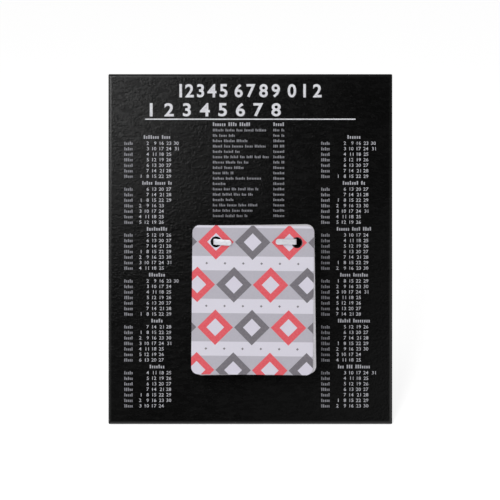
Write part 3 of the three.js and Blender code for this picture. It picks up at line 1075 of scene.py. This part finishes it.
@dataclass
class PrintLayer:
    """Flat printed shapes that are gathered and made into one piece.

    It stands off the board by its lift and is as thick as its depth, in millimetres.
    """

    name: str
    lift: float = 0.02
    depth: float = 0.03
    points: list[np.ndarray] = field(default_factory=list)
    faces: list[np.ndarray] = field(default_factory=list)
    used: int = 0

    def add(self, points: np.ndarray, faces: np.ndarray) -> None:
        """Adds a solid.

        Args:
            points: Its points as (across, up, out).
            faces: Its triangles, counted from its own first point.
        """
        self.points.append(points)
        self.faces.append(faces + self.used)
        self.used += len(points)

    def bar(self, left: float, right: float, low: float, high: float) -> None:
        """Adds a rectangle.

        Args:
            left: Its left edge.
            right: Its right edge.
            low: Its foot.
            high: Its top.
        """
        corners = np.array([[left, low], [right, low], [right, high], [left, high]])
        points = np.concatenate([raised(corners, out) for out in (0.0, self.depth)])
        quads = np.array([
            [3, 2, 1, 0], [4, 5, 6, 7], [0, 1, 5, 4], [1, 2, 6, 5], [2, 3, 7, 6], [3, 0, 4, 7],
        ])
        self.add(points, np.concatenate([quads[:, [0, 1, 2]], quads[:, [0, 2, 3]]]))

    def number(
        self, glyphs: Glyphs, text: str, left: float, low: float, height: float, stretch: float = 1.0
    ) -> None:
        """Adds a number.

        Args:
            glyphs: Where the numerals come from.
            text: The number, in figures.
            left: Its left edge.
            low: Its foot.
            height: Its height.
            stretch: How much wider it is than the type.
        """
        points, faces = glyphs.number(text)
        scale = np.array([height * stretch, height, 1.0])
        self.add(points * scale + np.array([left, low, 0.0]), faces)

    def build(self, ink: bpy.types.ID) -> bpy.types.Object:
        """Makes the piece, just above the board's face.

        Args:
            ink: Its material.

        Returns:
            The piece.
        """
        places = PLANE.place(np.concatenate(self.points) + np.array([0.0, 0.0, self.lift]))
        piece = mesh_piece(self.name, places, np.concatenate(self.faces).tolist(), smooth=False)
        return dress(piece, ink)


@dataclass
class BoardPrint:
    """Everything printed on the board. Places are millimetres from the board's middle.

    Weights are how far strokes are widened, as shares of the type's size. Lines of blocks stand for words:
    block_step and block_low are shares of the line's height, block_wide is a share of the step, mark_height
    is a share of the figures' height, and word_blocks gives the fewest blocks in a word and one more than
    the most. The seeds are what uneven heights are drawn from. Weekdays are counted from 0 for Monday.
    """

    title_low: float = 88.1
    title_height: float = 7.75
    title_blocks: tuple[Pair, ...] = ((-41.2, -13.3), (-9.2, 17.2), (21.6, 41.4))
    title_groups: tuple[str, ...] = ("12345", "6789", "012")
    title_weight: float = 0.022
    figure_weight: float = 0.006
    curve_steps: tuple[int, int] = (5, 2)
    second_low: float = 77.05
    second_height: float = 7.75
    second_count: int = 8
    second_first: float = -57.6
    second_pitch: float = 10.37
    second_stretch: float = 1.1
    rule_half: float = 61.1
    rule_low: float = 75.1
    rule_height: float = 0.68
    heads_across: Pair = (-54.0, 60.4)
    heads_up: float = 65.1
    tables_a_side: int = 6
    block_pitch: float = 26.67
    head_height: float = 2.1
    head_widths: tuple[float, ...] = (15.8, 17.6, 12.2, 9.7, 7.0, 8.9, 8.0, 13.4, 20.3, 16.4, 19.0, 19.0)
    first_row: float = 3.6
    row_pitch: float = 3.2
    figure_height: float = 1.95
    days_left: Pair = (-73.2, 41.2)
    figure_stretch: float = 1.1
    weeks_right: Pair = (-63.26, 51.25)
    week_pitch: float = 4.32
    block_step: float = 0.62
    block_wide: float = 0.6
    block_low: float = 0.72
    tall_share: float = 0.25
    word_blocks: tuple[int, int] = (3, 8)
    mark_width: float = 5.2
    mark_height: float = 0.95
    mark_seed: int = 40
    notes_left: float = -21.75
    notes_right: float = 13.4
    notes_head: float = 72.5
    notes_first: float = 69.1
    notes_pitch: float = 3.11
    notes_height: float = 1.5
    notes_widths: tuple[float, ...] = (
        31.2, 13.0, 20.3, 30.9, 15.8, 32.7, 20.9, 18.1, 12.2, 28.3, 7.5, 26.6, 23.4, 12.2, 26.1, 23.3, 20.3,
    )
    notes_head_width: float = 22.0
    notes_right_width: float = 6.6
    head_seeds: tuple[int, int] = (70, 71)
    line_seeds: tuple[int, int] = (80, 120)
    month_days: tuple[int, ...] = (31, 29, 31, 30, 31, 30, 31, 31, 30, 31, 30, 31)
    first_weekday: int = 6

    def words(
        self, layer: PrintLayer, left: float, right: float, low: float, height: float, seed: int
    ) -> None:
        """Fills a line with small upright blocks of uneven height, in place of words.

        Args:
            layer: Where the blocks go.
            left: The line's left end.
            right: The line's right end.
            low: The line's foot.
            height: The tallest block's height.
            seed: What the uneven heights are drawn from.
        """
        rng = np.random.default_rng(seed)
        count = max(2, round((right - left) / (height * self.block_step)))
        pitch = (right - left) / count
        run = 0
        word = int(rng.integers(*self.word_blocks))
        for number in range(count):
            run += 1
            if run > word and number < count - 2:
                run = 0
                word = int(rng.integers(*self.word_blocks))
                continue
            tall = run == 1 or rng.random() < self.tall_share
            start = left + number * pitch
            top = low + (height if tall else height * self.block_low)
            layer.bar(start, start + pitch * self.block_wide, low, top)

    def title(self, ink: bpy.types.ID) -> None:
        """The two large lines of plain numerals and the rule below them.

        Args:
            ink: Their material.
        """
        layer = PrintLayer("title_numerals")
        glyphs = Glyphs(self.title_weight, layer.depth, self.curve_steps[0])
        for group, (left, right) in zip(self.title_groups, self.title_blocks):
            widths = [glyphs.width(figure) * self.title_height for figure in group]
            gap = (right - left - sum(widths)) / (len(widths) - 1)
            for figure, width in zip(group, widths):
                layer.number(glyphs, figure, left, self.title_low, self.title_height)
                left += width + gap
        size = (self.second_height, self.second_stretch)
        for number in range(self.second_count):
            figure = str(number + 1)
            middle = self.second_first + number * self.second_pitch
            half = glyphs.width(figure) * self.second_height * self.second_stretch / 2
            layer.number(glyphs, figure, middle - half, self.second_low, *size)
        layer.bar(-self.rule_half, self.rule_half, self.rule_low, self.rule_low + self.rule_height)
        layer.build(ink)

    def months(self, ink: bpy.types.ID, bold: bpy.types.ID, grey: bpy.types.ID) -> None:
        """Twelve month tables: seven rows of weekdays, and weeks as columns from Monday to Sunday.

        Args:
            ink: The figures' material.
            bold: The heads' material.
            grey: The weekday marks' material.
        """
        figures = PrintLayer("month_figures")
        heads = PrintLayer("month_heads")
        days = PrintLayer("weekday_marks")
        glyphs = Glyphs(self.figure_weight, figures.depth, self.curve_steps[1])
        size = (self.figure_height, self.figure_stretch)
        weekday = self.first_weekday
        for month, length in enumerate(self.month_days):
            side, place = divmod(month, self.tables_a_side)
            head_up = self.heads_up - place * self.block_pitch
            left, right = (self.heads_across[side] + end * self.head_widths[month] / 2 for end in (-1, 1))
            self.words(heads, left, right, head_up - self.head_height / 2, self.head_height, month)
            top_row = head_up - self.first_row - self.figure_height / 2
            left = self.days_left[side]
            for row in range(7):
                low = top_row - row * self.row_pitch
                height = self.figure_height * self.mark_height
                self.words(days, left, left + self.mark_width, low, height, self.mark_seed + row)
            for day in range(1, length + 1):
                week, row = divmod(day - 1 + weekday, 7)
                right = self.weeks_right[side] + week * self.week_pitch
                width = glyphs.width(str(day)) * self.figure_height * self.figure_stretch
                figures.number(glyphs, str(day), right - width, top_row - row * self.row_pitch, *size)
            weekday = (weekday + length) % 7
        figures.build(ink)
        heads.build(bold)
        days.build(grey)

    def notes(self, bold: bpy.types.ID, grey: bpy.types.ID) -> None:
        """The small table in the middle: a bold head and seventeen lines in two columns.

        Args:
            bold: The head's material.
            grey: The lines' material.
        """
        head = PrintLayer("notes_head")
        lines = PrintLayer("notes_lines")
        columns = (self.notes_left, self.notes_right)
        low = self.notes_head - self.head_height / 2
        sizes = (self.notes_head_width, self.notes_right_width)
        for left, width, seed in zip(columns, sizes, self.head_seeds):
            self.words(head, left, left + width, low, self.head_height, seed)
        for number, first_width in enumerate(self.notes_widths):
            low = self.notes_first - number * self.notes_pitch - self.notes_height / 2
            sizes = (first_width, self.notes_right_width)
            for left, width, seed in zip(columns, sizes, self.line_seeds):
                self.words(lines, left, left + width, low, self.notes_height, seed + number)
        head.build(bold)
        lines.build(grey)

    def build(self) -> None:
        """Prints the board."""
        bright = PaleInk("pale_ink", colour(214, 214, 219)).material()
        middle = PaleInk("middle_ink", colour(184, 184, 190)).material()
        bold = PaleInk("bold_ink", colour(164, 164, 170)).material()
        grey = PaleInk("grey_ink", colour(133, 133, 139)).material()
        self.title(bright)
        self.months(middle, bold, grey)
        self.notes(bold, grey)


@dataclass
class Wrap:
    """The covering sheet: flat in front, folded round the four edges and turned in at the back.

    Sizes are those of the solid, in millimetres. The printed face is at 0 and the back at -thickness.

    The shoulder is how far over the face the front fold is softened, and flat_from is how far in from the
    edge the face is closed round the slots. The mitre's sizes are those of the turned-in edges' corners.
    """

    width: float = BOARD_WIDTH
    height: float = BOARD_HEIGHT
    thickness: float = BOARD_THICKNESS
    sheet: float = 0.4
    fold: float = 0.6
    shoulder: float = 1.9
    corner: float = 0.7
    turn_in: float = 16.0
    flat_from: float = 3.0
    mitre_depth: float = 0.3
    mitre_corner: float = 0.35
    least_corner: float = 0.05
    slot_across: Pair = (PRONGS_ACROSS - PRONGS_APART / 2, PRONGS_ACROSS + PRONGS_APART / 2)
    slot_up: float = HOLES_UP
    slot_size: Pair = (1.6, 4.3)
    fold_steps: int = 14
    per_corner: int = 8

    def section(self) -> np.ndarray:
        """The sheet's section from the front face to its inner side.

        The front fold is a quarter ellipse, longer over the face, and the back fold is a quarter circle.

        Returns:
            One (inset from the edge, out) row for each point.
        """
        turns = np.linspace(0.0, np.pi / 2, self.fold_steps + 1)
        quarter = np.column_stack([1 - np.sin(turns), np.cos(turns) - 1])
        bow = quarter * np.array([self.shoulder, self.fold])
        back = quarter[::-1] * np.array([self.fold, -self.fold]) - np.array([0.0, self.thickness])
        within = self.sheet - self.thickness
        inner = [
            [self.turn_in, -self.thickness], [self.turn_in, within],
            [self.sheet, within], [self.sheet, -self.sheet], [self.flat_from, -self.sheet],
        ]
        return np.vstack([[[self.flat_from, 0.0]], bow, back, inner])

    def ring(self, inset: float, out: float) -> np.ndarray:
        """One ring round the board.

        Where it lies on a turned-in edge, the three points in the middle of each corner dip into the mitre.

        Args:
            inset: How far in from the board's edges it is.
            out: How far out of the board it is.

        Returns:
            One (across, up, out) row for each point.
        """
        turned_in = out < self.sheet / 2 - self.thickness and inset > self.fold
        radius = self.mitre_corner if turned_in else max(self.corner - inset, self.least_corner)
        size = (self.width - 2 * inset, self.height - 2 * inset)
        ring = leaf_ring(*size, radius, self.per_corner)
        depth = np.full(len(ring), out)
        if turned_in:
            middles = np.arange(4) * (self.per_corner + 1) + self.per_corner // 2
            depth[(middles[:, None] + np.arange(-1, 2)).ravel()] += self.mitre_depth
        return np.column_stack([ring, depth])

    def slots(self) -> list[np.ndarray]:
        """The outlines of the slots that the prongs pass through."""
        half = np.array([[-1, -1], [1, -1], [1, 1], [-1, 1]]) * np.array(self.slot_size) / 2
        return [half + np.array([across, self.slot_up]) for across in self.slot_across]

    def build(self) -> None:
        """Joins the rings, and closes the front face and its inner side round the slots."""
        wall = np.stack([self.ring(*point) for point in self.section()[::-1]])
        points, faces = pierced(wall, self.slots())
        piece = mesh_piece("leather_grain_wrap", PLANE.place(points), faces, smooth=False)
        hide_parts("cover_wrap")
        dress(piece, LeatherGrain().material())


@dataclass
class Board:
    """The board's inner and rear parts, which are carried over from the solids."""

    def build(self) -> None:
        """Gives each carried-over node its finish."""
        liner = PaperStock("black_lining_paper", colour(50, 50, 53), colour(27, 27, 29), 0.7, 1.6, 0.09)
        carry_over("back_liner", liner.material())
        card = PaperStock("black_card", colour(60, 60, 62), colour(34, 34, 36), 0.66, 1.2, 0.08)
        carry_over("easel_strut", card.material())
        grey = PaperStock("greyboard", colour(150, 145, 134), colour(112, 107, 97), 0.92, 2.4, 0.06)
        carry_over("board_core", grey.material())


@dataclass(frozen=True)
class Lamp:
    """A square area lamp that faces the board's middle.

    Attributes:
        name: The lamp's name.
        place: Where it is, in millimetres on the board's plane.
        size: Its side in metres.
        power: Its power in watts.
    """

    name: str
    place: tuple[float, float, float]
    size: float
    power: float

    def build(self) -> None:
        """Adds the lamp to the scene."""
        light = bpy.data.lights.new(self.name, "AREA")
        light.shape = "SQUARE"
        light.size = self.size
        light.energy = self.power
        holder = bpy.data.objects.new(self.name, light)
        bpy.context.scene.collection.objects.link(holder)
        holder.location = PLANE.place(self.place)
        holder.rotation_euler = (Vector(PLANE.middle) - holder.location).to_track_quat("-Z", "Y").to_euler()


@dataclass
class Studio:
    """A pale floor, soft lamps, a white surround and the camera square to the board.

    Sizes are in millimetres, except the floor's side, which is in metres. The picture shows seen_width of
    the board's plane across, round a point that is aim_across and aim_up from the board's middle. The levels
    are those of the surround: ambient as light, and room_level as shiny faces see it on the reader's side.
    It darkens over room_edge, by the cosine of the angle to the reader.
    """

    distance: float = 700.0
    seen_width: float = 290.45
    aim_across: float = -0.2
    aim_up: float = -0.55
    sensor: float = 36.0
    floor_size: float = 6.0
    floor_grey: float = 0.8
    floor_glow: float = 0.66
    ambient: float = 0.4
    room_level: float = 0.08
    room_edge: Pair = (-0.2, 0.5)
    lamps: tuple[Lamp, ...] = (
        Lamp("key_lamp", (-290.0, 270.0, 1000.0), 0.3, 4.5),
        Lamp("fill_lamp", (480.0, -300.0, 1000.0), 0.6, 2.0),
        Lamp("edge_lamp", (-850.0, 150.0, 600.0), 0.8, 2.0),
    )

    def floor(self) -> None:
        """A wide pale floor that looks white to the camera, and keeps the shadow."""
        corners = np.array([[-1.0, -1.0], [1.0, -1.0], [1.0, 1.0], [-1.0, 1.0]])
        points = raised(corners * self.floor_size / 2, 0.0)
        floor = mesh_piece("studio_floor", points, [(0, 1, 2, 3)], smooth=False)
        graph = Graph.of_material("studio_floor_pale")
        path = graph.node("ShaderNodeLightPath", {}, {})
        seen = path["Is Camera Ray"].larger(path["Is Glossy Ray"]).larger(path["Is Transmission Ray"])
        base = graph.node("ShaderNodeBsdfDiffuse", {}, {"Color": (*[self.floor_grey] * 3, 1.0)})
        glow = graph.node("ShaderNodeEmission", {}, {"Color": WHITE, "Strength": seen * self.floor_glow})
        both = graph.node("ShaderNodeAddShader", {}, {0: base[0], 1: glow[0]})
        floor.data.materials.append(graph.show(both[0]))

    def world(self) -> None:
        """Soft light from all round, which the camera sees as white.

        Shiny faces see the white surround behind the calendar, and a dimmer room on the reader's side.
        """
        world = bpy.data.worlds.new("studio_world")
        bpy.context.scene.world = world
        graph = Graph(world, "ShaderNodeOutputWorld")
        path = graph.node("ShaderNodeLightPath", {}, {})
        ray = graph.node("ShaderNodeTexCoord", {}, {})["Generated"]
        ahead = graph.vector("DOT_PRODUCT", ray, PLANE.out)["Value"]
        room = ahead.ramp(*self.room_edge, 1.0, self.room_level)
        mirrored = path["Is Glossy Ray"].larger(path["Is Transmission Ray"])
        level = self.ambient + mirrored * (room - self.ambient)
        strength = level + path["Is Camera Ray"] * (1.0 - level)
        graph.show(graph.node("ShaderNodeBackground", {}, {"Color": WHITE, "Strength": strength})[0])

    def camera(self) -> None:
        """A camera square to the board, so far away that a unit on the board shows as in the photograph."""
        data = bpy.data.cameras.new("camera")
        data.sensor_width = self.sensor
        data.lens = self.sensor * self.distance / self.seen_width
        holder = bpy.data.objects.new("camera", data)
        bpy.context.scene.collection.objects.link(holder)
        holder.location = PLANE.place((self.aim_across, self.aim_up, self.distance))
        holder.rotation_mode = "QUATERNION"
        holder.rotation_quaternion = Vector(-PLANE.out).to_track_quat("-Z", "Y")
        bpy.context.scene.camera = holder

    def build(self) -> None:
        """Builds the stage."""
        self.floor()
        self.world()
        for lamp in self.lamps:
            lamp.build()
        self.camera()
        bpy.context.scene.view_settings.view_transform = "Standard"


def main() -> None:
    """Builds the calendar's pieces in order, and then the studio."""
    logging.basicConfig(level=logging.INFO, format="%(name)s: %(message)s")
    for part in (Wrap(), Board(), BoardPrint(), Pad(), Fastener(), Studio()):
        part.build()
        LOG.info("%s built", type(part).__name__)


if __name__ == "__main__":
    main()
